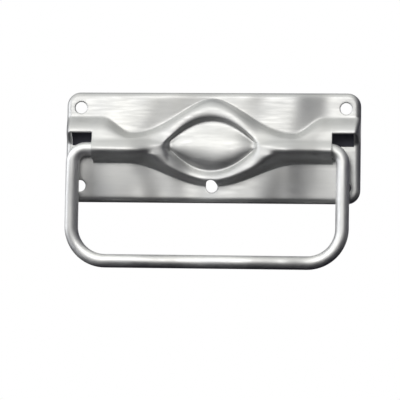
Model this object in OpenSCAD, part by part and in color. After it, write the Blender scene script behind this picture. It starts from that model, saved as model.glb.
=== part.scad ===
// Chest handle: a pressed sheet-steel plate with a round steel bail that swings in its tunnels.
// The plate stands in the XZ plane with its front towards -Y, and the wall lies on y = 0.
// The origin is the middle of the plate's back, and +Z is up.

/* [Plate] */
// Length of the plate
plate_l = 120; // [110:1:150]
// Height of the plate
plate_h = 45; // [44:1:60]
// Thickness of the sheet
sheet_t = 1.2; // [0.8:0.1:1.4]
// Outer radius of the edge that is rolled back to the wall
edge_r = 2.4; // [2:0.1:3]
// Corner radius of the plate's outline
corner_r = 5.5; // [4:0.5:8]

/* [Screw holes] */
// Diameter of the five screw holes
hole_d = 4.7; // [3:0.1:5.5]
// Distance from the side edge to the outer holes
hole_inset_x = 6; // [5.5:0.5:8]
// Distance from the upper and lower edges to the holes
hole_inset_z = 6.5; // [5.5:0.5:8]

/* [Bail] */
// Diameter of the rod
rod_d = 5.5; // [4:0.1:6]
// Drop from the swing axis to the middle of the grip
bail_drop = 45.4; // [35:0.1:70]
// Gap between a tunnel's mouth and the bend of the rod, with the bail in the middle of its play
bend_gap = 0.7; // [0.7:0.05:1.2]
// Bend radius at the top of a leg, on the rod's centreline
upper_bend_r = 5.5; // [5:0.05:6]
// Bend radius at the bottom of a leg, on the rod's centreline
lower_bend_r = 14; // [8:0.5:20]
// Straight length of each rod end past its bend
pivot_l = 12; // [8:0.5:13]
// Chamfer on the rod's ends
rod_chamfer = 0.5; // [0.2:0.1:1]
// Sideways place of the bail within its play
bail_shift = -1.8; // [-1.8:0.1:1.8]
// Gap between a leg and the plate's front
leg_gap = 0.25; // [0.2:0.05:0.6]

/* [Tunnels] */
// Height of the swing axis above the middle of the plate
axis_z = -1.2; // [-2:0.1:0]
// Gap between the rod and the inside of a tunnel
tunnel_gap = 0.35; // [0.3:0.05:0.5]
// Distance from the plate's side edge to the mouth of a tunnel
mouth_inset = 11.4; // [11:0.1:12]
// Width of the edge strip outside a window
strip_w = 2.5; // [2.5:0.1:3]
// Height of a window's sill above the middle of the plate
sill_z = 0.6; // [0:0.1:1]
// Height of a window's upper edge above the middle of the plate
lintel_z = 6.5; // [5.5:0.1:7]

/* [Wings] */
// Height of a wing's upper foot above the middle of the plate
wing_z = 12.1; // [11.5:0.1:13]
// Distance from a tunnel's mouth to the place where its wing reaches full height
wing_inset = 3; // [2:0.5:4]
// Rise of a wing's shoulder above the flat sheet
wing_rise = 4.2; // [3.5:0.1:5]
// Distance from a wing's upper foot to its shoulder
wing_run = 3.5; // [3:0.1:4]
// Rise of the edge strip's arch above the flat sheet
strip_rise = 5.8; // [5:0.1:6.5]
// Height of the necks' upper foot above the middle of the plate
neck_z = 5.7; // [5.4:0.1:6.5]
// Distance from the middle of the plate to a neck
neck_x = 33; // [31:0.5:35]
// Distance from a neck's upper foot to its shoulder
neck_run = 2.1; // [1.8:0.1:2.4]

/* [Eye] */
// Length of the eye between its corners
eye_l = 39.4; // [34:0.2:42]
// Height of the eye between its valleys
eye_h = 20.5; // [18:0.5:21]
// Height of the eye's middle above the middle of the plate
eye_z = 0.5; // [0:0.1:1]
// Rise of the dome's ridge above the flat sheet
dome_rise = 6.8; // [5:0.1:7]
// Rise of the rim above the flat sheet
rim_rise = 5.5; // [4.5:0.1:5.6]
// Rise of the valley round the dome, where zero lies level with the flat sheet
valley_rise = -1.2; // [-1.4:0.1:0]
// Width of the rim's inner wall
rim_inner_w = 0.4; // [0.3:0.1:0.6]
// Width of the rim's upper branch between the valley and its crest
rim_upper_w = 2.7; // [2.5:0.1:3]
// Width of the rim's lower branch between the valley and its crest
rim_crest_w = 2.1; // [2:0.1:2.3]
// Width of the rim's lower branch between the valley and its foot
rim_lower_w = 5.6; // [5.4:0.1:5.8]
// Distance from the middle of the plate to where the rim's lower foot meets a tunnel's
rim_reach = 36; // [34:0.5:37]

/* [Hidden] */
$fn = 96;

rod_r = rod_d / 2;
half_l = plate_l / 2;
half_h = plate_h / 2;
front_y = -edge_r;
axis_rise = rod_r + leg_gap;
axis_y = front_y - axis_rise;
mouth_x = half_l - mouth_inset;
window_x = half_l - strip_w;
hole_x = half_l - hole_inset_x;
hole_z = half_h - hole_inset_z;
leg_x = mouth_x + bend_gap + upper_bend_r;
// A cut this long passes right through the plate.
cut_reach = 4 * (edge_r + axis_rise + rod_d);

// The flat of the sheet ends where its edge starts to roll.
flat_x = half_l - edge_r;
flat_z = half_h - edge_r;
bend_r = corner_r - edge_r;
arc_x = flat_x - bend_r;
arc_z = flat_z - bend_r;

// Places along the plate where the tunnels turn into the eye's rim
fork_share = 0.38;
fork_gap = 5;
fork_start = fork_share * eye_l;
fork_end = neck_x - fork_gap;
wing_x = mouth_x - wing_inset;
strip_gap = 0.2;
strip_x = window_x - strip_gap;
crown_gap = 0.2;
crown_z = flat_z - crown_gap;
neck_bias = 0.85;

// Shares that shape the eye: the softness of its corners, the length over which its valley fades there,
// and the height of its slopes, its inner walls and the outer shoulders of its rim
corner_blur = 0.16;
valley_fade = 0.2;
slope_share = 0.52;
wall_share = 0.75;
upper_share = 0.9;
lower_share = 0.95;
lower_place = 0.7;

// The tunnel's section is a round wrap, drawn through guide points at even angles.
wrap_from = 36;
wrap_step = 18;
wrap_r = (rod_r + tunnel_gap + sheet_t) * 3 / (2 + cos(wrap_step));
wrap_guides = 9;
band_share = 0.5;
band_rise = 0.3;
foot_gap = 0.35;
foot_run = 2;
sill_run = 0.6;
tunnel_foot_z = axis_z - wrap_r - foot_gap;

// Fineness of the pressed sheet, and the share of a neck's distance that has the eye's columns
eye_share = 0.85;
eye_columns = 14;
wing_columns = 9;
window_columns = 3;
arc_columns = 4;
rows_per_guide = 2;
roll_steps = 4;

function clamp(value, low, high) = min(max(value, low), high);
function ease(t) = (1 - cos(180 * clamp(t, 0, 1))) / 2;
function mix(a, b, t) = a + (b - a) * t;
function unit(v) = v / norm(v);
// The value where it is positive and zero elsewhere, with a rounded corner between
function soft_positive(value, blur) = (value + sqrt(value * value + blur * blur)) / 2;
function flip(list) = [for (i = [len(list) - 1:-1:0]) list[i]];

// The line along the upper foot of the raised band, from the crown over the necks to the wings
function neck_ease(ax) = ease(pow(min(ax / neck_x, 1), neck_bias));
function wing_ease(ax) = ease((ax - neck_x) / (wing_x - neck_x));
function upper_foot(ax) = ax < neck_x
    ? mix(crown_z, neck_z, neck_ease(ax))
    : mix(neck_z, wing_z, wing_ease(ax));
function shoulder_run(ax) = mix(neck_run, wing_run, wing_ease(ax));

// The line along the lower foot, from the middle of the rim to the tunnels
function lower_foot(ax) = mix(eye_z - eye_h / 2 - rim_lower_w, tunnel_foot_z, ease(ax / rim_reach));

// Guide points of one section are pairs of height on the plate and rise above the flat sheet.
function wrap_point(k) = let (angle = wrap_from + wrap_step * k)
    [axis_z + wrap_r * cos(angle), axis_rise + wrap_r * sin(angle)];

function shoulder_point(ax) = [upper_foot(ax) - shoulder_run(ax), wing_rise];

function tunnel_guides(ax) = let (shoulder = shoulder_point(ax), top = wrap_point(0)) [
    shoulder,
    mix(shoulder, top, band_share) + [0, band_rise],
    for (k = [0:wrap_guides - 1]) wrap_point(k),
    [lower_foot(ax), 0]
];

function eye_guides(ax) =
    let (room = soft_positive(1 - pow(2 * ax / eye_l, 2), corner_blur))
    let (lens = eye_h / 2 * room, upper = eye_z + lens, lower = eye_z - lens)
    let (valley = mix(rim_rise, valley_rise, ease(room / valley_fade)))
    let (ridge = mix(valley, dome_rise, min(room, 1)))
    let (slope = mix(valley, ridge, slope_share), wall = mix(valley, rim_rise, wall_share))
    let (crest = lower - rim_crest_w, foot = lower_foot(ax)) [
    [upper_foot(ax) - neck_run, rim_rise * upper_share],
    [upper + rim_upper_w, rim_rise],
    [upper + rim_inner_w, wall],
    [upper, valley],
    [eye_z + lens / 2, slope],
    [eye_z, ridge],
    [eye_z - lens / 2, slope],
    [lower, valley],
    [lower - rim_inner_w, wall],
    [crest, rim_rise],
    [mix(crest, foot, lower_place), rim_rise * lower_share],
    [foot, 0]
];

function strip_guides() =
    let (peak = (wing_z + sill_z) / 2, half = (wing_z - sill_z) / 2, top = wing_z - wing_run) [
    for (k = [0:wrap_guides + 1]) let (z = mix(top, sill_z, k / (wrap_guides + 1)))
        [z, strip_rise * pow(cos(90 * (z - peak) / half), 2)],
    [sill_z - sill_run, 0]
];

function raised_guides(ax) = ax < mouth_x
    ? mix(eye_guides(ax), tunnel_guides(ax), ease((ax - fork_start) / (fork_end - fork_start)))
    : mix(tunnel_guides(ax), strip_guides(), ease((ax - mouth_x) / (strip_x - mouth_x)));

// Height of the flat's outline above a place along the plate
function outline_z(ax) = ax <= arc_x ? flat_z : arc_z + sqrt(max(bend_r * bend_r - pow(ax - arc_x, 2), 0));

function section_guides(ax) =
    let (edge = outline_z(ax), raised = raised_guides(ax), foot = upper_foot(ax))
    let (low_foot = raised[len(raised) - 1][0]) [
    [edge, 0],
    [min(foot + foot_run, mix(foot, edge, 0.5)), 0],
    [foot, 0],
    each raised,
    [low_foot - foot_run, 0],
    [-edge, 0]
];

// A smooth curve drawn near its guide points, which starts and ends on the first and the last
function guide(list, i) = i < 0
    ? 2 * list[0] - list[1]
    : i >= len(list) ? 2 * list[len(list) - 1] - list[len(list) - 2] : list[i];
function curve_point(list, s) = let (i = min(floor(s), len(list) - 2), t = s - i)
    (pow(1 - t, 3) * guide(list, i - 1)
    + (3 * pow(t, 3) - 6 * pow(t, 2) + 4) * guide(list, i)
    + (3 * t - 3 * pow(t, 3) + 3 * pow(t, 2) + 1) * guide(list, i + 1)
    + pow(t, 3) * guide(list, i + 2)) / 6;

// Columns of the sheet from its middle to one side, close together where its corners turn
half_columns = [
    for (i = [1:eye_columns]) neck_x * eye_share * i / eye_columns,
    for (i = [1:wing_columns]) mix(neck_x * eye_share, mouth_x, i / wing_columns),
    for (i = [1:window_columns]) mix(mouth_x, arc_x, i / window_columns),
    for (i = [1:arc_columns]) arc_x + bend_r * sin(90 * i / arc_columns)
];
columns = [for (x = flip(half_columns)) -x, 0, each half_columns];
last_column = len(columns) - 1;
guide_count = len(section_guides(0));
rows = [0, for (s = [1:1 / rows_per_guide:guide_count - 2]) s, guide_count - 1];
last_row = len(rows) - 1;

function front_point(x, s) = let (p = curve_point(section_guides(abs(x)), s)) [x, front_y - p[1], p[0]];
front = [for (x = columns) [for (s = rows) front_point(x, s)]];

// The rim of the flat as column and row pairs, in order round the plate
rim = [
    for (i = [0:last_column]) [i, last_row],
    for (j = [last_row - 1:-1:0]) [last_column, j],
    for (i = [last_column - 1:-1:0]) [i, 0],
    for (j = [1:last_row - 1]) [0, j]
];
rim_count = len(rim);

function on_side(at) = at[0] == 0 || at[0] == last_column;
function outward(at) =
    let (p = front[at[0]][at[1]], side = sign(p[0]), up = sign(p[2]))
    on_side(at) ? [side, 0, 0]
    : abs(p[0]) <= arc_x ? [0, 0, up]
    : unit([p[0] - side * arc_x, 0, p[2] - up * arc_z]);
function slope_along(at) = let (j = clamp(at[1], 1, last_row - 1), a = front[at[0]][j - 1], b = front[at[0]][j + 1])
    on_side(at) && at[1] == j ? -(b[1] - a[1]) / (b[2] - a[2]) : 0;

// Direction from the front of the sheet to its back
function rim_inward(at, angle) =
    unit(-sin(angle) * outward(at) + cos(angle) * [0, 1, slope_along(at)]);
function flat_inward(i, j) =
    i == 0 || i == last_column || j == 0 || j == last_row
    ? rim_inward([i, j], 0)
    : unit(cross(front[i + 1][j] - front[i - 1][j], front[i][j + 1] - front[i][j - 1]));

function roll_point(at, angle) =
    front[at[0]][at[1]] + edge_r * (sin(angle) * outward(at) + [0, 1 - cos(angle), 0]);

roll_angles = [for (k = [1:roll_steps]) 90 * k / roll_steps];
sheet_points = [
    for (i = [0:last_column]) for (j = [0:last_row]) front[i][j],
    for (angle = roll_angles) for (at = rim) roll_point(at, angle),
    for (i = [0:last_column]) for (j = [0:last_row]) front[i][j] + sheet_t * flat_inward(i, j),
    for (angle = roll_angles) for (at = rim) roll_point(at, angle) + sheet_t * rim_inward(at, angle)
];
back_start = len(sheet_points) / 2;

function flat_index(at) = at[0] * (last_row + 1) + at[1];
function roll_index(k, b) = k == 0
    ? flat_index(rim[b % rim_count])
    : (last_column + 1) * (last_row + 1) + (k - 1) * rim_count + b % rim_count;

skin = [
    for (i = [0:last_column - 1]) for (j = [0:last_row - 1])
        [flat_index([i, j]), flat_index([i + 1, j]), flat_index([i + 1, j + 1]), flat_index([i, j + 1])],
    for (k = [0:roll_steps - 1]) for (b = [0:rim_count - 1])
        [roll_index(k, b), roll_index(k, b + 1), roll_index(k + 1, b + 1), roll_index(k + 1, b)]
];
function halves(q) = [[q[0], q[1], q[2]], [q[0], q[2], q[3]]];
sheet_faces = [
    for (q = skin) each halves(q),
    for (q = skin) each halves([for (n = flip(q)) n + back_start]),
    for (b = [0:rim_count - 1]) let (a = roll_index(roll_steps, b), c = roll_index(roll_steps, b + 1))
        each halves([a, c, c + back_start, a + back_start])
];

module along_y(d) {
    rotate([90, 0, 0])
        cylinder(d = d, h = cut_reach, center = true);
}

module screw_holes() {
    for (x = [-hole_x, hole_x], z = [-hole_z, hole_z])
        translate([x, 0, z]) along_y(hole_d);
    translate([0, 0, -hole_z]) along_y(hole_d);
}

// A block across one end of the plate, between two heights and two depths
module end_block(side, low, high, back, front_edge) {
    translate([side > 0 ? mouth_x : -window_x, front_edge, low])
        cube([window_x - mouth_x, back - front_edge, high - low]);
}

module plate() {
    tab_low = tunnel_foot_z - foot_run;
    color([0.78, 0.79, 0.78])
    difference() {
        union() {
            difference() {
                polyhedron(sheet_points, sheet_faces, convexity = 8);
                for (side = [-1, 1])
                    end_block(side, tab_low, lintel_z, cut_reach, -cut_reach);
            }
            for (side = [-1, 1])
                end_block(side, tab_low, sill_z, front_y + sheet_t, front_y);
        }
        screw_holes();
    }
}

// A length of rod from the origin along +Z
module rod(length) {
    cylinder(d = rod_d, h = length);
}

// A bend of rod in the XZ plane, from the origin along +X and round to -Z
module rod_bend(radius) {
    translate([0, 0, -radius])
        rotate([90, 0, 0])
            rotate_extrude(angle = 90)
                translate([radius, 0]) circle(d = rod_d);
}

// One half of the bail, from the middle of its grip to the end of its pivot
module half_bail() {
    pivot_start = leg_x - upper_bend_r;
    leg_l = bail_drop - upper_bend_r - lower_bend_r;
    translate([pivot_start, 0, 0]) {
        rotate([0, -90, 0]) rod(pivot_l - rod_chamfer);
        translate([rod_chamfer - pivot_l, 0, 0])
            rotate([0, -90, 0])
                cylinder(d1 = rod_d, d2 = rod_d - 2 * rod_chamfer, h = rod_chamfer);
        rod_bend(upper_bend_r);
    }
    translate([leg_x, 0, lower_bend_r - bail_drop]) {
        rod(leg_l);
        translate([-lower_bend_r, 0, -lower_bend_r])
            mirror([0, 0, 1]) rod_bend(lower_bend_r);
    }
    translate([0, 0, -bail_drop])
        rotate([0, 90, 0]) rod(leg_x - lower_bend_r);
}

module bail() {
    color([0.8, 0.81, 0.8])
    translate([bail_shift, axis_y, axis_z]) {
        half_bail();
        mirror([1, 0, 0]) half_bail();
    }
}

plate();
bail();
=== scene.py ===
import math

import bmesh
import bpy
from bpy.props import FloatProperty, FloatVectorProperty, PointerProperty
from mathutils import Matrix, Vector
from mathutils.bvhtree import BVHTree


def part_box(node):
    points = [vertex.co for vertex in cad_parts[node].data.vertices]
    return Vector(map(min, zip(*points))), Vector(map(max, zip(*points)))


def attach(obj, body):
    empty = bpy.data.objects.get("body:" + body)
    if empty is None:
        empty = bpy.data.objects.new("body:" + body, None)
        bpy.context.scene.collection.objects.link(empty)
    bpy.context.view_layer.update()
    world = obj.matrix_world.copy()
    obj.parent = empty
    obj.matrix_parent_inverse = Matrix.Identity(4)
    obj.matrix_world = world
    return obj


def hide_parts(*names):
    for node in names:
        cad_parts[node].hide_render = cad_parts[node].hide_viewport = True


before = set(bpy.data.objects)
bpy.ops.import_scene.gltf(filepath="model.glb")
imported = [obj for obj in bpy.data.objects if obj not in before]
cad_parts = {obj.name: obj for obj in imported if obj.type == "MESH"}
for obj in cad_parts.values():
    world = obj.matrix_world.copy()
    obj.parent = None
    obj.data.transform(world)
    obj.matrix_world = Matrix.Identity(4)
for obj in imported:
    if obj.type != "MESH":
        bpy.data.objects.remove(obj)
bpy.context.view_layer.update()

bl_info = {
    "name": "Chest Handle",
    "version": (1, 0, 0),
    "blender": (4, 5, 0),
    "location": "View3D > Sidebar > Chest Handle",
    "description": "Models a pressed steel chest handle with a swinging bail, and its studio",
    "category": "Add Mesh",
}

PLATE_LOW, PLATE_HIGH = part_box("plate")
BAIL_LOW, BAIL_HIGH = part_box("bail")

# The rod's radius, and the line that its ends turn about
ROD_RADIUS = (BAIL_HIGH.y - BAIL_LOW.y) / 2
PIVOT_Y = (BAIL_HIGH.y + BAIL_LOW.y) / 2
PIVOT_Z = BAIL_HIGH.z - ROD_RADIUS

# Place of each line of the pressed form among a section's guides, counted from the plate's upper edge
LINTEL_GUIDE = 5
SILL_GUIDE = 9
SLIT_END_GUIDE = 15
LAST_GUIDE = 17

# Fineness of the sheet between guides, and along one half of the plate. The eye's columns take up a share
# of the way to a neck, and a few columns stay standing beside a window
EDGE_ROWS = 8
GUIDE_ROWS = 5
LOWER_ROWS = 12
EYE_COLUMNS = 62
EYE_SPAN = 0.85
TUNNEL_COLUMNS = 34
WINDOW_COLUMNS = 12
ARC_COLUMNS = 8
STILE_COLUMNS = 2
ROLL_STEPS = 9

# Turns of the edge that is drawn in round a screw hole, rounds that even it out, and the distance before
# the plate from which it is traced
HOLE_DRAWS = (0, math.pi / 6, math.pi / 3)
HOLE_EVENING = 40
TRACE_GAP = 0.01

# Fineness of the rod, and of the rounding on sharp edges
ROD_SIDES = 48
BEND_STEPS = 24
CHAMFER_STEPS = 3
MERGE_DISTANCE = 1e-6
SHARP_ANGLE = math.radians(50)
EDGE_BREAK_STEPS = 2

# Patterns of the zinc finish: how fine they are, and how they are drawn out and shifted
CLOUD_SCALE = 70
CLOUD_DETAIL = 3
CLOUD_STRETCH = (1, 1, 1)
GRAIN_SCALE = 900
GRAIN_DETAIL = 4
GRAIN_SPAN = (0.3, 0.7)
SHEET_GRAIN_STRETCH = (0.12, 1, 1)
ROD_GRAIN_STRETCH = (0.5, 1, 0.5)
WAVE_SCALE = 42
WAVE_DETAIL = 0.5
WAVE_STRETCH = (1, 0.3, 0.45)
WAVE_SHIFT = (0.447, 0.151, 2.251)

# The room that the metal mirrors: the direction of its brightest place, its tones by how near a direction
# lies to that place, from 0 to 1, and how far a direction turns to the wall before it shows the backdrop
ROOM_TOP = (-0.25, -0.28, 0.92)
ROOM_DIM = (0.68, (0.015, 0.015, 0.03))
ROOM_MIDDLE = (0.82, (0.32, 0.325, 0.33))
ROOM_BRIGHT = (0.97, (1, 1, 0.97))
BACKDROP_TONE = (1, 1, 1)
BACKDROP_TURN = 0.88

# Lights and cards of the studio. The dark cards behind the plate are painted shadow. Only the camera sees
# them, through the windows and the slits and, on the right, past the leg through the lower hole, in place of
# the shade that falls there. Each has its name, its place along and up the plate, and its height
KEY_PLACE = (-0.06, -0.35, 0.125)
KEY_SIZE = (0.26, 0.20)
KEY_TONE = (1, 0.985, 0.95)
FILL_PLACE = (-0.60, -0.20, 0.10)
FILL_SIZE = (0.50, 0.50)
FILL_TONE = (0.97, 0.98, 1)
FLOOR_SIZE = (5, 5)
FLOOR_TONE = (0.8, 0.8, 0.8)
FLOOR_ROUGHNESS = 0.8
FLAG_PLACE = (0, -0.2, -0.16)
FLAG_SIZE = (1.2, 1.2)
FLAG_TONE = (0.01, 0.01, 0.016)
PAINTED_SHADOWS = (("painted_shadow_left", -0.053, 0.001, 0.018), ("painted_shadow_right", 0.053, -0.005, 0.030))
PAINTED_SHADOW_Y = 0.0002
PAINTED_SHADOW_WIDTH = 0.011
PAINTED_SHADOW_TONE = (0.08, 0.08, 0.10)
UPWARDS = (0, 0, 1)
FORWARDS = (0, -1, 0)


def length(name, description, default):
    """A size in metres."""
    return FloatProperty(name=name, description=description, default=default, unit="LENGTH", precision=5)


def share(name, description, default):
    """A share from 0 to 1."""
    return FloatProperty(name=name, description=description, default=default, min=0, max=1, subtype="FACTOR")


def angle(name, description, degrees):
    """An angle, written in degrees."""
    return FloatProperty(name=name, description=description, default=math.radians(degrees), subtype="ANGLE")


def power(name, description, default):
    """A light's power in watts."""
    return FloatProperty(name=name, description=description, default=default, min=0, unit="POWER")


def colour(name, description, default):
    """A linear colour."""
    return FloatVectorProperty(name=name, description=description, default=default, size=3, min=0, max=1,
                               subtype="COLOR")


class PlateSizes(bpy.types.PropertyGroup):
    """Sizes of the pressed plate."""
    sheet: length("Sheet", "Thickness of the sheet", 0.0012)
    roll: length("Rolled edge", "Outer radius of the edge that is rolled back to the wall", 0.0024)
    lip: length("Lip", "Straight end of the rolled edge", 0.00005)
    corner: length("Corner", "Corner radius of the plate's outline", 0.0055)
    edge_break: length("Edge break", "Width of the rounding on the sheet's cut edges", 0.00014)
    hole: length("Screw hole", "Radius of the screw holes", 0.00235)
    hole_seat: length("Hole seat", "Radius of the sheet that is drawn in round a screw hole", 0.0034)
    hole_draw: length("Hole draw", "Radius of the edge that a punch draws in round a screw hole", 0.0005)
    hole_inset_x: length("Hole inset along", "Distance from the side edge to the outer holes", 0.006)
    hole_inset_z: length("Hole inset up", "Distance from the upper and lower edges to the holes", 0.0065)
    tunnel_gap: length("Tunnel gap", "Gap between the rod and the inside of a tunnel", 0.00035)
    mouth_inset: length("Mouth inset", "Distance from the side edge to a tunnel's mouth", 0.0114)
    slit: length("Slit", "Width of the slit that frees a tunnel's mouth from the flat", 0.00012)
    sill: length("Sill", "Height of a window's sill above the middle of the plate", 0.0006)
    wing_z: length("Wing foot", "Height of a wing's upper foot", 0.0121)
    wing_inset: length("Wing inset", "Distance from a mouth to where its wing is at full height", 0.003)
    wing_rise: length("Wing rise", "Rise of a wing's shoulder above the flat", 0.0042)
    wing_run: length("Wing run", "Distance from a wing's upper foot to its shoulder", 0.0035)
    strip_rise: length("Strip rise", "Rise of the arch at the plate's side edge", 0.0053)
    neck_z: length("Neck foot", "Height of the necks' upper foot", 0.0057)
    neck_x: length("Neck place", "Distance from the middle of the plate to a neck", 0.033)
    neck_run: length("Neck run", "Distance from a neck's upper foot to its shoulder", 0.0021)
    eye_l: length("Eye length", "Length of the eye between its corners", 0.0370)
    eye_h: length("Eye height", "Height of the eye between its valleys", 0.0205)
    eye_z: length("Eye middle", "Height of the eye's middle", 0.0005)
    dome_rise: length("Dome rise", "Rise of the dome's ridge above the flat", 0.0068)
    rim_rise: length("Rim rise", "Rise of the rim above the flat", 0.0055)
    valley_rise: length("Valley rise", "Rise of the valley round the dome", 0.0030)
    rim_inner_w: length("Upper inner wall", "Width of the rim's inner wall above the eye", 0.0004)
    rim_slope_w: length("Lower inner wall", "Width of the rim's inner wall below the eye", 0.0014)
    rim_upper_w: length("Upper rim", "Width of the rim's upper branch, valley to crest", 0.0020)
    rim_crest_w: length("Lower crest", "Width of the rim's lower branch, valley to crest", 0.0032)
    rim_lower_w: length("Lower rim", "Width of the rim's lower branch, valley to foot", 0.0056)
    rim_reach: length("Rim reach", "Distance from the middle to the end of the rim's foot", 0.036)


class BailSizes(bpy.types.PropertyGroup):
    """Sizes of the bent rod. Its reach and thickness come from the frame."""
    upper_bend: length("Upper bend", "Bend radius at the top of a leg, on the rod's centreline", 0.0055)
    lower_bend: length("Lower bend", "Bend radius at the bottom of a leg, on the rod's centreline", 0.014)
    pivot: length("Pivot", "Straight length of each rod end past its bend", 0.012)
    chamfer: length("Chamfer", "Chamfer on the rod's ends", 0.0005)


class SteelFinish(bpy.types.PropertyGroup):
    """Finish of the zinc-plated steel."""
    plate_light: colour("Plate light", "Lighter tone of the plate", (0.73, 0.73, 0.71))
    plate_dark: colour("Plate dark", "Darker tone of the plate", (0.61, 0.62, 0.63))
    # The rod uses the plate's zinc-plated steel with lighter tones. The rise over the plate's tones is
    # painted light, for the brighter highlights along the rod
    rod_light: colour("Rod light", "Lighter tone of the rod", (0.95, 0.95, 0.93))
    rod_dark: colour("Rod dark", "Darker tone of the rod", (0.87, 0.88, 0.89))
    plate_gloss: share("Plate's least roughness", "Roughness of the plate's brightest places", 0.46)
    plate_satin: share("Plate's most roughness", "Roughness of the plate's dullest places", 0.56)
    rod_gloss: share("Rod's least roughness", "Roughness of the rod's brightest places", 0.48)
    rod_satin: share("Rod's most roughness", "Roughness of the rod's dullest places", 0.58)
    wave_height: length("Wave height", "Bump distance of the slow waves in the steel", 0.0090)
    grain_height: length("Grain height", "Bump distance of the fine drawing lines", 0.000012)


class StudioSettings(bpy.types.PropertyGroup):
    """Camera and light of the studio."""
    azimuth: angle("Azimuth", "Turn of the camera towards the plate's right side", 6.0)
    elevation: angle("Elevation", "Turn of the camera above the horizon", -4.5)
    roll: angle("Roll", "Clockwise turn of the picture", 0.97)
    distance: length("Distance", "Distance from the camera to the plate", 0.9)
    view_width: length("View width", "Width of the picture at the plate", 0.1623)
    aim: FloatVectorProperty(name="Aim", description="Point in the middle of the picture",
                             default=(-0.0049, 0, -0.0212), size=3, subtype="TRANSLATION")
    floor_z: length("Floor", "Height of the studio floor", -0.32)
    key_power: power("Key power", "Power of the main light", 0.54)
    fill_power: power("Fill power", "Power of the side light", 1.6)


def ease(t):
    """A soft step from 0 to 1."""
    return (1 - math.cos(math.pi * min(max(t, 0), 1))) / 2


def mix(a, b, t):
    """A value or a list of points between a and b."""
    if isinstance(a, list):
        return [mix(p, q, t) for p, q in zip(a, b)]
    return a + (b - a) * t


def soft_positive(value, blur):
    """The value where it is positive and zero elsewhere, with a rounded corner between."""
    return (value + math.sqrt(value * value + blur * blur)) / 2


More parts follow.
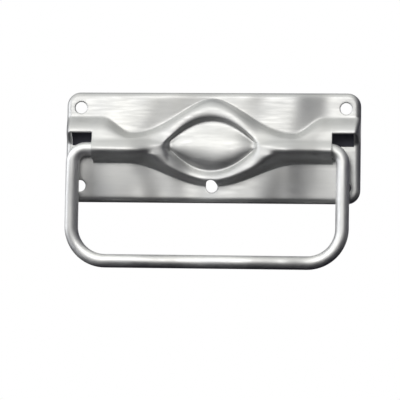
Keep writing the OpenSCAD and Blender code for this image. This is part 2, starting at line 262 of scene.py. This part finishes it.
class PressDie:
    """The form that presses the sheet. Each section across the plate is a smooth curve near its guides,
    and a guide is a pair of height on the plate and rise above the flat."""

    # The wrap that holds the rod: its guides, their turns about the rod, and the turns with a crease between
    WRAP_GUIDES = 9
    WRAP_FROM = math.radians(36)
    WRAP_STEP = math.radians(18)
    CREASE_FROM = math.radians(60)
    CREASE_TO = math.radians(135)

    # The raised band's feet and crest: runs along the flat, gaps to the plate's edge and to the wrap, how
    # steeply the crown falls to the necks, and how far the crest lies below the rod's axis
    UPPER_RUN = 0.0005
    LOWER_RUN = 0.002
    CROWN_GAP = 0.0002
    FOOT_GAP = 0.00035
    CROWN_FALL = 0.85
    CREST_DROP = 0.0010

    # Where the eye turns into a neck, as a share of its length and back from the neck's place, and where a
    # neck turns into a tunnel
    FORK_SHARE = 0.42
    FORK_INSET = 0.0075
    WRAP_LEAD = 0.003
    WRAP_INSET = 0.0020

    # Guides of the band, the necks and the flanks, as shares of the way between two lines or of a rise
    BAND_SHARE = 0.35
    BAND_LIFT = 0.0003
    FLANK_SHARE = 0.7
    NECK_WRAP_GUIDES = 3
    NECK_LEVEL_GUIDES = 5
    NECK_BROW = 0.1
    NECK_FLANK_RISE = 0.55

    # Guides of the eye: how softly its corners close, and shares of the rim's rise and of the dome's half
    # height and rise
    CORNER_BLUR = 0.16
    CORNER_ROOM = 0.2
    SHOULDER_RISE = 0.9
    WALL_RISE = 0.75
    EYE_FLANK_RISE = 0.95
    DOME_UPPER = (0.5, 0.5)
    DOME_LOWER = (0.74, 0.85)

    # Fall of a strip from a window's lintel to its sill, as shares of the way and of the strip's rise
    STRIP_FALLS = ((0.2, 0.95), (0.36, 0.62), (0.6, 0.25), (0.85, 0), (1, 0))
    STRIP_FLATS = 5

    def __init__(self, sizes):
        self.sizes = sizes
        self.flat_x = PLATE_HIGH.x - sizes.roll
        self.flat_z = PLATE_HIGH.z - sizes.roll
        self.bend = sizes.corner - sizes.roll
        self.arc_x = self.flat_x - self.bend
        self.arc_z = self.flat_z - self.bend
        self.front_y = PLATE_HIGH.y - sizes.roll
        self.axis_rise = self.front_y - PIVOT_Y
        # A curve runs inside its round guides, so these lie further out
        self.wrap_r = (ROD_RADIUS + sizes.tunnel_gap + sizes.sheet) * 3 / (2 + math.cos(self.WRAP_STEP))
        self.front_rise = self.axis_rise + self.wrap_r
        self.mouth_x = PLATE_HIGH.x - sizes.mouth_inset
        self.wing_x = self.mouth_x - sizes.wing_inset
        self.foot_z = PIVOT_Z - self.wrap_r - self.FOOT_GAP
        self.fork_start = self.FORK_SHARE * sizes.eye_l
        self.fork_end = sizes.neck_x - self.FORK_INSET
        self.wrap_start = self.fork_end - self.WRAP_LEAD
        self.wrap_end = sizes.neck_x - self.WRAP_INSET

    def wing_ease(self, x):
        """A soft step from a neck to where its wing is at full height."""
        return ease((x - self.sizes.neck_x) / (self.wing_x - self.sizes.neck_x))

    def upper_foot(self, x):
        """Height of the raised band's upper foot, from the crown over the necks to the wings."""
        sizes = self.sizes
        if x < sizes.neck_x:
            crown_z = self.flat_z - self.CROWN_GAP
            return mix(crown_z, sizes.neck_z, ease((x / sizes.neck_x) ** self.CROWN_FALL))
        return mix(sizes.neck_z, sizes.wing_z, self.wing_ease(x))

    def lower_foot(self, x):
        """Height of the band's lower foot, from the middle of the rim to the tunnels."""
        sizes = self.sizes
        middle = sizes.eye_z - sizes.eye_h / 2 - sizes.rim_lower_w
        return mix(middle, self.foot_z, ease(x / sizes.rim_reach))

    def lower_crest(self, x):
        """Height of the line along which the band turns down, from the middle of the rim to the tunnels."""
        sizes = self.sizes
        middle = sizes.eye_z - sizes.eye_h / 2 - sizes.rim_crest_w
        return mix(middle, PIVOT_Z - self.CREST_DROP, ease(x / sizes.neck_x))

    def shoulder(self, x):
        """The guide below the band's upper foot, on the necks and the wings."""
        run = mix(self.sizes.neck_run, self.sizes.wing_run, self.wing_ease(x))
        return Vector((self.upper_foot(x) - run, self.sizes.wing_rise))

    def wrap_point(self, k):
        """A guide of the wrap that holds the rod: round, with a soft crease where its front turns down."""
        turn = self.WRAP_FROM + self.WRAP_STEP * k
        off = max(0, min(turn - self.CREASE_FROM, self.CREASE_TO - turn))
        reach = self.wrap_r / math.cos(off)
        return Vector((PIVOT_Z + reach * math.cos(turn), self.axis_rise + reach * math.sin(turn)))

    def band_guide(self, x):
        """The guide between a shoulder and the wrap."""
        return mix(self.shoulder(x), self.wrap_point(0), self.BAND_SHARE) + Vector((0, self.BAND_LIFT))

    def neck(self, x):
        """Guides between the eye and a tunnel, where the front runs level down to the crest."""
        crest = Vector((self.lower_crest(x), self.front_rise))
        foot = Vector((self.lower_foot(x), 0))
        brow = Vector((PIVOT_Z + self.wrap_r * self.NECK_BROW, self.front_rise))
        last = self.NECK_LEVEL_GUIDES - 1
        level = [mix(brow, crest, k / last) for k in range(self.NECK_LEVEL_GUIDES)]
        flank = Vector((mix(crest.x, foot.x, self.FLANK_SHARE), self.front_rise * self.NECK_FLANK_RISE))
        wrap = [self.wrap_point(k) for k in range(self.NECK_WRAP_GUIDES)]
        return [self.shoulder(x), self.band_guide(x), *wrap, *level, flank, foot]

    def tunnel(self, x):
        """Guides round the rod."""
        wrap = [self.wrap_point(k) for k in range(self.WRAP_GUIDES)]
        return [self.shoulder(x), self.band_guide(x), *wrap, Vector((self.lower_foot(x), 0))]

    def eye(self, x):
        """Guides over the rim, the valley and the dome."""
        sizes = self.sizes
        room = soft_positive(1 - (2 * x / sizes.eye_l) ** 2, self.CORNER_BLUR)
        lens = sizes.eye_h / 2 * room
        rim = mix(sizes.rim_rise, self.front_rise, ease(x / self.wrap_end))
        valley = mix(rim, sizes.valley_rise, ease(room / self.CORNER_ROOM))
        ridge = mix(valley, sizes.dome_rise, min(room, 1))
        wall = mix(valley, rim, self.WALL_RISE)
        upper = sizes.eye_z + lens
        lower = sizes.eye_z - lens
        upper_run, upper_rise = self.DOME_UPPER
        lower_run, lower_rise = self.DOME_LOWER
        crest = self.lower_crest(x)
        foot = self.lower_foot(x)
        return [
            Vector((self.upper_foot(x) - sizes.neck_run, sizes.rim_rise * self.SHOULDER_RISE)),
            Vector((upper + sizes.rim_upper_w, sizes.rim_rise)),
            Vector((upper + sizes.rim_inner_w, wall)),
            Vector((upper, valley)),
            Vector((sizes.eye_z + lens * upper_run, mix(valley, ridge, upper_rise))),
            Vector((sizes.eye_z, ridge)),
            Vector((sizes.eye_z - lens * lower_run, mix(valley, ridge, lower_rise))),
            Vector((lower, valley)),
            Vector((lower - sizes.rim_slope_w, wall)),
            Vector((crest, rim)),
            Vector((mix(crest, foot, self.FLANK_SHARE), rim * self.EYE_FLANK_RISE)),
            Vector((foot, 0)),
        ]

    def strip(self):
        """Guides past a tunnel's mouth: the wing, its fall to the sill, and the flat below."""
        sizes = self.sizes
        lintel = self.band_guide(self.mouth_x)
        arch = [Vector((mix(lintel.x, sizes.sill, run), sizes.strip_rise * rise))
                for run, rise in self.STRIP_FALLS]
        steps = [k / self.STRIP_FLATS for k in range(1, self.STRIP_FLATS + 1)]
        flat = [Vector((mix(sizes.sill, self.foot_z, t), 0)) for t in steps]
        return [self.shoulder(self.mouth_x), lintel, *arch, *flat]

    def outline_z(self, x):
        """Height of the flat's outline at a place along the plate."""
        if x <= self.arc_x:
            return self.flat_z
        return self.arc_z + math.sqrt(max(self.bend ** 2 - (x - self.arc_x) ** 2, 0))

    def raised(self, x):
        """Guides of the raised band between the tunnels' mouths."""
        fork = ease((x - self.fork_start) / (self.fork_end - self.fork_start))
        wrapped = ease((x - self.wrap_start) / (self.wrap_end - self.wrap_start))
        return mix(mix(self.eye(x), self.neck(x), fork), self.tunnel(x), wrapped)

    def section(self, x, past_mouth):
        """All guides of one section, from the plate's upper edge to its lower edge."""
        raised = self.strip() if past_mouth else self.raised(x)
        edge = self.outline_z(x)
        foot = self.upper_foot(x)
        low = raised[-1].x
        flats = [edge, min(foot + self.UPPER_RUN, mix(foot, edge, 0.5)), foot]
        lower = [low - self.LOWER_RUN / 2, low - self.LOWER_RUN, -edge]
        return [*[Vector((z, 0)) for z in flats], *raised, *[Vector((z, 0)) for z in lower]]

    def point(self, x, guides, s):
        """A point of the sheet's front, on the uniform cubic B-spline that the guides give."""
        ends = [2 * guides[0] - guides[1], *guides, 2 * guides[-1] - guides[-2]]
        i = min(int(s), len(guides) - 2)
        t = s - i
        weights = ((1 - t) ** 3, 3 * t ** 3 - 6 * t * t + 4, 3 * t + 3 * t * t - 3 * t ** 3 + 1, t ** 3)
        place = sum((w * p for w, p in zip(weights, ends[i:i + 4])), Vector((0, 0))) / 6
        return Vector((x, self.front_y - place.y, place.x))

    def outward(self, at):
        """Direction in the plate's plane from its outline to the outside."""
        off = Vector((abs(at.x) - self.arc_x, 0, abs(at.z) - self.arc_z))
        if off.x > 0 and off.z > 0:
            out = off.normalized()
        else:
            out = Vector((1, 0, 0)) if off.x > off.z else Vector((0, 0, 1))
        return Vector((math.copysign(out.x, at.x), 0, math.copysign(out.z, at.z)))


def sheet_columns(die):
    """Places of the sheet's columns from the middle to one side. The slit lies between two of them."""
    eye_end = die.sizes.neck_x * EYE_SPAN
    eye = [eye_end * i / EYE_COLUMNS for i in range(EYE_COLUMNS + 1)]
    tunnel = [mix(eye_end, die.mouth_x, i / TUNNEL_COLUMNS) for i in range(1, TUNNEL_COLUMNS + 1)]
    past = die.mouth_x + die.sizes.slit
    window = [mix(past, die.arc_x, i / WINDOW_COLUMNS) for i in range(WINDOW_COLUMNS + 1)]
    arc = [die.arc_x + die.bend * math.sin(math.pi / 2 * i / ARC_COLUMNS) for i in range(1, ARC_COLUMNS + 1)]
    return [*eye, *tunnel, *window, *arc]


def sheet_rows():
    """Places of the sheet's rows, counted in guides."""
    rows = [i / EDGE_ROWS for i in range(EDGE_ROWS)]
    rows += [1 + i / GUIDE_ROWS for i in range((LAST_GUIDE - 2) * GUIDE_ROWS)]
    return rows + [LAST_GUIDE - 1 + i / LOWER_ROWS for i in range(LOWER_ROWS + 1)]


def press_sheet(bm, die):
    """Presses a flat grid into the die, and returns the faces that the windows and slits take away."""
    columns = sheet_columns(die)
    rows = sheet_rows()
    last_column = len(columns) - 1
    last_row = len(rows) - 1
    mouth_column = EYE_COLUMNS + TUNNEL_COLUMNS
    window_end = last_column - STILE_COLUMNS
    bmesh.ops.create_grid(bm, x_segments=2 * last_column, y_segments=last_row, size=1)

    def column_of(x):
        return abs(x) * last_column

    def row_of(y):
        return (1 - y) / 2 * last_row

    cut = []
    for face in bm.faces:
        centre = face.calc_center_median()
        column = int(column_of(centre.x))
        guide = rows[int(row_of(centre.y))]
        if guide < LINTEL_GUIDE:
            continue
        in_slit = column == mouth_column and guide < SLIT_END_GUIDE
        in_window = mouth_column < column < window_end and guide < SILL_GUIDE
        if in_slit or in_window:
            cut.append(face)

    sections = [die.section(x, i > mouth_column) for i, x in enumerate(columns)]
    for vert in bm.verts:
        column = round(column_of(vert.co.x))
        x = math.copysign(columns[column], vert.co.x)
        vert.co = die.point(x, sections[column], rows[round(row_of(vert.co.y))])
    return cut


def draw_edges(bm, edges):
    """Extrudes edges in place, and returns the new edges."""
    made = bmesh.ops.extrude_edge_only(bm, edges=edges)["geom"]
    return [e for e in made if isinstance(e, bmesh.types.BMEdge)]


def verts_of(edges):
    """The verts of some edges, each once."""
    return list(dict.fromkeys(v for e in edges for v in e.verts))


def roll_edge(bm, die):
    """Rolls the sheet's outer edge back to the wall in small turns, and ends it in a narrow straight lip."""
    sizes = die.sizes
    edges = [e for e in bm.edges if e.is_boundary]
    start_y = bm.verts.layers.float.new("start_y")
    for vert in verts_of(edges):
        vert[start_y] = vert.co.y
    turns = [math.pi / 2 * step / ROLL_STEPS for step in range(ROLL_STEPS + 1)]
    for start, end in zip(turns, turns[1:]):
        out = math.sin(end) - math.sin(start)
        back = math.cos(start) - math.cos(end)
        edges = draw_edges(bm, edges)
        for vert in verts_of(edges):
            depth = PLATE_HIGH.y - sizes.lip - vert[start_y]
            vert.co += die.outward(vert.co) * sizes.roll * out + Vector((0, depth * back, 0))
    edges = draw_edges(bm, edges)
    bmesh.ops.translate(bm, vec=(0, sizes.lip, 0), verts=verts_of(edges))
    bm.verts.layers.float.remove(start_y)


def sheet_round(bm, x, z, radius):
    """The faces of the sheet whose middles lie within a radius of a place, and the edges round them all."""
    inside = []
    for face in bm.faces:
        at = face.calc_center_median()
        if math.hypot(at.x - x, at.z - z) < radius:
            inside.append(face)
    uses = [e for f in inside for e in f.edges]
    return inside, [e for e in dict.fromkeys(uses) if uses.count(e) == 1]


def walk_loop(edges):
    """The verts of one closed loop of edges, in order."""
    left = set(edges[1:])
    first, vert = edges[0].verts
    loop = [first]
    while vert != first:
        loop.append(vert)
        edge = next(e for e in vert.link_edges if e in left)
        left.remove(edge)
        vert = edge.other_vert(vert)
    if left:
        raise RuntimeError("The border of a screw hole is not one loop.")
    return loop


def even_turns(loop, x, z):
    """Directions from a hole's centre to the verts round it, evened out along the loop."""
    turns = [math.atan2(v.co.z - z, v.co.x - x) for v in loop]
    for i in range(1, len(turns)):
        turns[i] += math.tau * round((turns[i - 1] - turns[i]) / math.tau)
    whole = math.copysign(math.tau, turns[-1] - turns[0])
    for _ in range(HOLE_EVENING):
        before = [turns[-1] - whole, *turns[:-1]]
        after = [*turns[1:], turns[0] + whole]
        turns = [(a + 2 * b + c) / 4 for a, b, c in zip(before, turns, after)]
    return turns


def pierce_holes(bm, sizes):
    """Cuts the screw holes and draws the sheet round each of them into a circle."""
    hole_x = PLATE_HIGH.x - sizes.hole_inset_x
    hole_z = PLATE_HIGH.z - sizes.hole_inset_z
    trace_y = PLATE_LOW.y - TRACE_GAP
    tree = BVHTree.FromBMesh(bm)
    direction = bm.verts.layers.float.new("direction")
    for x, z in ((-hole_x, hole_z), (hole_x, hole_z), (-hole_x, -hole_z), (hole_x, -hole_z), (0, -hole_z)):
        inside, border = sheet_round(bm, x, z, sizes.hole_seat)
        bmesh.ops.delete(bm, geom=inside, context="FACES")
        loop = walk_loop(border)
        for vert, turn in zip(loop, even_turns(loop, x, z)):
            vert[direction] = turn
        for draw in HOLE_DRAWS:
            border = draw_edges(bm, border)
            radius = sizes.hole + sizes.hole_draw * (1 - math.sin(draw) / math.sin(HOLE_DRAWS[-1]))
            for vert in verts_of(border):
                turn = vert[direction]
                ahead = Vector((x + radius * math.cos(turn), trace_y, z + radius * math.sin(turn)))
                vert.co = tree.ray_cast(ahead, Vector((0, 1, 0)))[0]
                vert.co.y += sizes.hole_draw * (1 - math.cos(draw))
    bm.verts.layers.float.remove(direction)


def face_front(bm):
    """Turns every face of the sheet the way its flat field faces, towards the front."""
    bmesh.ops.recalc_face_normals(bm, faces=bm.faces)
    field = max(bm.faces, key=lambda f: f.calc_center_median().z - abs(f.calc_center_median().x))
    if field.normal.y > 0:
        bmesh.ops.reverse_faces(bm, faces=bm.faces)


def make_object(name, bm):
    """A smooth-shaded object from a finished mesh, at the origin."""
    for face in bm.faces:
        face.smooth = True
    mesh = bpy.data.meshes.new(name)
    bm.to_mesh(mesh)
    bm.free()
    piece = bpy.data.objects.new(name, mesh)
    bpy.context.scene.collection.objects.link(piece)
    return piece


def round_edges(piece, width):
    """Breaks the piece's sharp edges."""
    bevel = piece.modifiers.new("Edge break", "BEVEL")
    bevel.limit_method = "ANGLE"
    bevel.angle_limit = SHARP_ANGLE
    bevel.width = width
    bevel.segments = EDGE_BREAK_STEPS
    bevel.profile = 0.5


class Nodes:
    """Adds and links the nodes of one tree."""

    def __init__(self, tree):
        self.tree = tree
        tree.nodes.clear()

    def add(self, kind, **settings):
        """A new node with its sockets and settings filled in."""
        node = self.tree.nodes.new(kind)
        for key, value in settings.items():
            if key in node.inputs:
                node.inputs[key].default_value = value
            else:
                setattr(node, key, value)
        return node

    def link(self, source, output, target, socket):
        """Links one node's output to another's socket."""
        self.tree.links.new(source.outputs[output], target.inputs[socket])

    def join(self, operation, first, second):
        """Joins two outputs, each given as a node and the output's name, and returns the result as such."""
        node = self.add("ShaderNodeMath", operation=operation)
        self.link(*first, node, 0)
        self.link(*second, node, 1)
        return node, "Value"


def new_material(name):
    """An empty material, with its nodes and its output."""
    material = bpy.data.materials.new(name)
    material.use_nodes = True
    nodes = Nodes(material.node_tree)
    return material, nodes, nodes.add("ShaderNodeOutputMaterial")


def stretched_noise(nodes, where, stretch, scale, detail, shift=(0, 0, 0)):
    """Noise on the piece's own coordinates, drawn out by the stretch."""
    mapping = nodes.add("ShaderNodeMapping", Scale=stretch, Location=shift)
    noise = nodes.add("ShaderNodeTexNoise", Scale=scale, Detail=detail)
    nodes.link(where, "Object", mapping, "Vector")
    nodes.link(mapping, "Vector", noise, "Vector")
    return noise


def zinc_steel(name, light, dark, gloss, satin, grain_stretch, finish):
    """Zinc-plated steel: a satin metal with cloudy tone, slow waves and fine drawing lines."""
    material, nodes, output = new_material(name)
    steel = nodes.add("ShaderNodeBsdfPrincipled", Metallic=1.0)
    where = nodes.add("ShaderNodeTexCoord")
    cloud = stretched_noise(nodes, where, CLOUD_STRETCH, CLOUD_SCALE, CLOUD_DETAIL)
    grain = stretched_noise(nodes, where, grain_stretch, GRAIN_SCALE, GRAIN_DETAIL)
    wave = stretched_noise(nodes, where, WAVE_STRETCH, WAVE_SCALE, WAVE_DETAIL, WAVE_SHIFT)

    tone = nodes.add("ShaderNodeMix", data_type="RGBA")
    tone.inputs["A"].default_value = (*dark, 1)
    tone.inputs["B"].default_value = (*light, 1)
    nodes.link(cloud, "Fac", tone, "Factor")
    nodes.link(tone, "Result", steel, "Base Color")

    rough = nodes.add("ShaderNodeMapRange")
    rough.inputs["From Min"].default_value = GRAIN_SPAN[0]
    rough.inputs["From Max"].default_value = GRAIN_SPAN[1]
    rough.inputs["To Min"].default_value = gloss
    rough.inputs["To Max"].default_value = satin
    nodes.link(grain, "Fac", rough, "Value")
    nodes.link(rough, "Result", steel, "Roughness")

    slow = nodes.add("ShaderNodeBump", Strength=1.0, Distance=finish.wave_height)
    fine = nodes.add("ShaderNodeBump", Strength=1.0, Distance=finish.grain_height)
    nodes.link(wave, "Fac", slow, "Height")
    nodes.link(grain, "Fac", fine, "Height")
    nodes.link(slow, "Normal", fine, "Normal")
    nodes.link(fine, "Normal", steel, "Normal")
    nodes.link(steel, "BSDF", output, "Surface")
    return material


class CHEST_OT_plate(bpy.types.Operator):
    """Press the plate from sheet, roll its edge, and pierce its holes and windows"""
    bl_idname = "chest_handle.plate"
    bl_label = "Press Plate"

    def execute(self, context):
        sizes = context.scene.chest_plate
        finish = context.scene.chest_finish
        die = PressDie(sizes)
        bm = bmesh.new()
        cut = press_sheet(bm, die)
        roll_edge(bm, die)
        bmesh.ops.delete(bm, geom=cut, context="FACES")
        pierce_holes(bm, sizes)
        face_front(bm)
        piece = make_object("pressed_plate", bm)
        wall = piece.modifiers.new("Sheet", "SOLIDIFY")
        wall.thickness = sizes.sheet
        wall.offset = -1
        round_edges(piece, sizes.edge_break)
        piece.data.materials.append(
            zinc_steel("plated_sheet", finish.plate_light, finish.plate_dark, finish.plate_gloss,
                       finish.plate_satin, SHEET_GRAIN_STRETCH, finish))
        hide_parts("plate")
        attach(piece, "plate")
        return {"FINISHED"}


def draw_rod(bm, edges, step):
    """Draws the rod's end ring straight on, and returns the new ring."""
    ring = draw_edges(bm, edges)
    bmesh.ops.translate(bm, vec=step, verts=verts_of(ring))
    return ring


def bend_rod(bm, edges, centre):
    """Bends the rod's end ring a quarter turn about a point, and returns the new ring."""
    made = bmesh.ops.spin(bm, geom=edges, cent=centre, axis=(0, 1, 0), angle=-math.pi / 2, steps=BEND_STEPS)
    return [e for e in made["geom_last"] if isinstance(e, bmesh.types.BMEdge)]


def ring_edges_of(verts):
    """The edges of a ring whose two ends both lie in it."""
    ring = set(verts)
    edges = dict.fromkeys(e for v in verts for e in v.link_edges)
    return [e for e in edges if ring.issuperset(e.verts)]


class CHEST_OT_bail(bpy.types.Operator):
    """Bend the bail from one length of rod"""
    bl_idname = "chest_handle.bail"
    bl_label = "Bend Bail"

    def execute(self, context):
        sizes = context.scene.chest_bail
        finish = context.scene.chest_finish
        left = BAIL_LOW.x + ROD_RADIUS
        right = BAIL_HIGH.x - ROD_RADIUS
        grip_z = BAIL_LOW.z + ROD_RADIUS
        leg = PIVOT_Z - grip_z - sizes.upper_bend - sizes.lower_bend
        top = PIVOT_Z - sizes.upper_bend
        base = grip_z + sizes.lower_bend
        pivot_end = left + sizes.upper_bend + sizes.pivot

        bm = bmesh.new()
        place = Matrix.Translation((pivot_end, PIVOT_Y, PIVOT_Z)) @ Matrix.Rotation(math.pi / 2, 4, "Y")
        ring = bmesh.ops.create_circle(bm, radius=ROD_RADIUS, segments=ROD_SIDES, matrix=place)["verts"]
        first = ring_edges_of(ring)
        end = draw_rod(bm, first, (-sizes.pivot, 0, 0))
        end = bend_rod(bm, end, (left + sizes.upper_bend, PIVOT_Y, top))
        end = draw_rod(bm, end, (0, 0, -leg))
        end = bend_rod(bm, end, (left + sizes.lower_bend, PIVOT_Y, base))
        end = draw_rod(bm, end, (right - left - 2 * sizes.lower_bend, 0, 0))
        end = bend_rod(bm, end, (right - sizes.lower_bend, PIVOT_Y, base))
        end = draw_rod(bm, end, (0, 0, leg))
        end = bend_rod(bm, end, (right - sizes.upper_bend, PIVOT_Y, top))
        end = draw_rod(bm, end, (-sizes.pivot, 0, 0))
        for edges in (first, end):
            bmesh.ops.contextual_create(bm, geom=edges)
        bmesh.ops.remove_doubles(bm, verts=bm.verts, dist=MERGE_DISTANCE)
        bmesh.ops.recalc_face_normals(bm, faces=bm.faces)
        caps = [f for f in bm.faces if len(f.verts) == ROD_SIDES]
        bmesh.ops.bevel(bm, geom=[e for f in caps for e in f.edges], offset=sizes.chamfer, affect="EDGES",
                        segments=CHAMFER_STEPS, profile=0.5, material=-1)
        piece = make_object("bent_bail", bm)
        piece.data.materials.append(
            zinc_steel("plated_rod", finish.rod_light, finish.rod_dark, finish.rod_gloss,
                       finish.rod_satin, ROD_GRAIN_STRETCH, finish))
        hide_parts("bail")
        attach(piece, "bail")
        return {"FINISHED"}


def area_light(name, place, aim, size, watts, tone):
    """A soft rectangular light that shines at a point."""
    data = bpy.data.lights.new(name, "AREA")
    data.shape = "RECTANGLE"
    data.size, data.size_y = size
    data.energy = watts
    data.color = tone
    light = bpy.data.objects.new(name, data)
    light.location = place
    light.rotation_euler = (Vector(aim) - Vector(place)).to_track_quat("-Z", "Y").to_euler()
    bpy.context.scene.collection.objects.link(light)


def room_light(nodes, where):
    """Light of the room by direction: bright above and a little to the left, and dim below."""
    lit = nodes.add("ShaderNodeVectorMath", operation="DOT_PRODUCT")
    lit.inputs[1].default_value = Vector(ROOM_TOP).normalized()
    nodes.link(where, "Generated", lit, 0)
    nearness = nodes.add("ShaderNodeMapRange")
    nearness.inputs["From Min"].default_value = -1
    nearness.inputs["From Max"].default_value = 1
    nodes.link(lit, "Value", nearness, "Value")
    ramp = nodes.add("ShaderNodeValToRGB")
    stops = ramp.color_ramp.elements
    for stop, (place, tone) in zip(stops, (ROOM_DIM, ROOM_BRIGHT)):
        stop.position = place
        stop.color = (*tone, 1)
    middle_place, middle_tone = ROOM_MIDDLE
    stops.new(middle_place).color = (*middle_tone, 1)
    nodes.link(nearness, "Result", ramp, "Fac")
    room = nodes.add("ShaderNodeBackground", Strength=1.0)
    nodes.link(ramp, "Color", room, "Color")
    return room


def backdrop_seen(nodes, where):
    """1 where the camera looks past the handle or a mirrored ray turns to the wall, and 0 elsewhere."""
    parts = nodes.add("ShaderNodeSeparateXYZ")
    nodes.link(where, "Generated", parts, "Vector")
    behind = nodes.add("ShaderNodeMath", operation="GREATER_THAN")
    behind.inputs[1].default_value = BACKDROP_TURN
    nodes.link(parts, "Y", behind, 0)
    path = nodes.add("ShaderNodeLightPath")
    mirrored = nodes.join("MULTIPLY", (path, "Is Glossy Ray"), (behind, "Value"))
    seen = nodes.join("MAXIMUM", (path, "Is Camera Ray"), mirrored)
    return nodes.join("MAXIMUM", seen, (path, "Is Transmission Ray"))


def studio_world(name):
    """A white backdrop behind the handle, and the room that lights the metal and is mirrored in it."""
    world = bpy.data.worlds.new(name)
    world.use_nodes = True
    nodes = Nodes(world.node_tree)
    output = nodes.add("ShaderNodeOutputWorld")
    where = nodes.add("ShaderNodeTexCoord")
    backdrop = nodes.add("ShaderNodeBackground", Strength=1.0)
    backdrop.inputs["Color"].default_value = (*BACKDROP_TONE, 1)
    blend = nodes.add("ShaderNodeMixShader")
    nodes.link(*backdrop_seen(nodes, where), blend, "Fac")
    nodes.link(room_light(nodes, where), "Background", blend, 1)
    nodes.link(backdrop, "Background", blend, 2)
    nodes.link(blend, "Shader", output, "Surface")
    return world


def floor_paint(name):
    """Plain pale floor paint."""
    material, nodes, output = new_material(name)
    paint = nodes.add("ShaderNodeBsdfPrincipled", Roughness=FLOOR_ROUGHNESS)
    paint.inputs["Base Color"].default_value = (*FLOOR_TONE, 1)
    nodes.link(paint, "BSDF", output, "Surface")
    return material


def flag_and_painted_shadow_cloth(name, tone):
    """Dull dark cloth that can only be seen from its front: the black flag, and the painted shadow cards
    behind the plate.
    """
    material, nodes, output = new_material(name)
    cloth = nodes.add("ShaderNodeBsdfDiffuse")
    cloth.inputs["Color"].default_value = (*tone, 1)
    clear = nodes.add("ShaderNodeBsdfTransparent")
    side = nodes.add("ShaderNodeNewGeometry")
    blend = nodes.add("ShaderNodeMixShader")
    nodes.link(side, "Backfacing", blend, "Fac")
    nodes.link(cloth, "BSDF", blend, 1)
    nodes.link(clear, "BSDF", blend, 2)
    nodes.link(blend, "Shader", output, "Surface")
    return material


def stage_card(name, place, facing, size, material):
    """A flat card of the studio."""
    bm = bmesh.new()
    turn = Vector(facing).to_track_quat("Z", "Y").to_matrix().to_4x4()
    scale = Matrix.Diagonal((size[0] / 2, size[1] / 2, 1, 1))
    matrix = Matrix.Translation(place) @ turn @ scale
    bmesh.ops.create_grid(bm, x_segments=1, y_segments=1, size=1, matrix=matrix)
    card = make_object(name, bm)
    card.data.materials.append(material)
    return card


def hide_from_camera(card):
    """Leaves a card to be mirrored in the metal only."""
    card.visible_camera = False
    card.visible_shadow = False


def hide_from_metal(card):
    """Leaves a card to be seen by the camera only."""
    card.visible_glossy = False
    card.visible_diffuse = False
    card.visible_shadow = False


def set_camera(scene, studio):
    """Aims the camera at the handle from its distance and angles."""
    data = bpy.data.cameras.new("camera")
    data.sensor_fit = "HORIZONTAL"
    data.lens = data.sensor_width * studio.distance / studio.view_width
    camera = bpy.data.objects.new("camera", data)
    level = math.cos(studio.elevation)
    back = Vector((math.sin(studio.azimuth) * level, -math.cos(studio.azimuth) * level,
                   math.sin(studio.elevation)))
    camera.location = Vector(studio.aim) + back * studio.distance
    turn = (-back).to_track_quat("-Z", "Y").to_matrix() @ Matrix.Rotation(studio.roll, 3, "Z")
    camera.rotation_euler = turn.to_euler()
    scene.collection.objects.link(camera)
    scene.camera = camera


class CHEST_OT_studio(bpy.types.Operator):
    """Set the floor, the lights, the cards and the camera"""
    bl_idname = "chest_handle.studio"
    bl_label = "Set Studio"

    def execute(self, context):
        scene = context.scene
        studio = scene.chest_studio
        scene.view_settings.view_transform = "Standard"
        scene.world = studio_world("studio_room")
        stage_card("studio_floor", (0, 0, studio.floor_z), UPWARDS, FLOOR_SIZE, floor_paint("pale_floor"))
        area_light("key", KEY_PLACE, studio.aim, KEY_SIZE, studio.key_power, KEY_TONE)
        area_light("fill", FILL_PLACE, studio.aim, FILL_SIZE, studio.fill_power, FILL_TONE)
        # Dark cards behind the windows, the slits and the right lower hole, seen by the camera only: painted
        # shadow in place of the shade that falls there
        painted_shadow_paint = flag_and_painted_shadow_cloth("painted_shadow_cloth", PAINTED_SHADOW_TONE)
        for name, x, z, height in PAINTED_SHADOWS:
            hide_from_metal(stage_card(name, (x, PAINTED_SHADOW_Y, z), FORWARDS, (PAINTED_SHADOW_WIDTH, height), painted_shadow_paint))
        black = flag_and_painted_shadow_cloth("black_cloth", FLAG_TONE)
        hide_from_camera(stage_card("flag_below", FLAG_PLACE, UPWARDS, FLAG_SIZE, black))
        set_camera(scene, studio)
        return {"FINISHED"}


class CHEST_PT_panel(bpy.types.Panel):
    """Lists the steps that make the handle"""
    bl_label = "Chest Handle"
    bl_idname = "CHEST_PT_panel"
    bl_space_type = "VIEW_3D"
    bl_region_type = "UI"
    bl_category = "Chest Handle"

    def draw(self, context):
        for step in (CHEST_OT_plate, CHEST_OT_bail, CHEST_OT_studio):
            self.layout.operator(step.bl_idname)


SETTINGS = {
    "chest_plate": PlateSizes,
    "chest_bail": BailSizes,
    "chest_finish": SteelFinish,
    "chest_studio": StudioSettings,
}
CLASSES = (*SETTINGS.values(), CHEST_OT_plate, CHEST_OT_bail, CHEST_OT_studio, CHEST_PT_panel)


def register():
    for cls in CLASSES:
        bpy.utils.register_class(cls)
    for name, group in SETTINGS.items():
        setattr(bpy.types.Scene, name, PointerProperty(type=group))


def unregister():
    for name in SETTINGS:
        delattr(bpy.types.Scene, name)
    for cls in reversed(CLASSES):
        bpy.utils.unregister_class(cls)


def main():
    register()
    bpy.ops.chest_handle.plate()
    bpy.ops.chest_handle.bail()
    bpy.ops.chest_handle.studio()


if __name__ == "__main__":
    main()
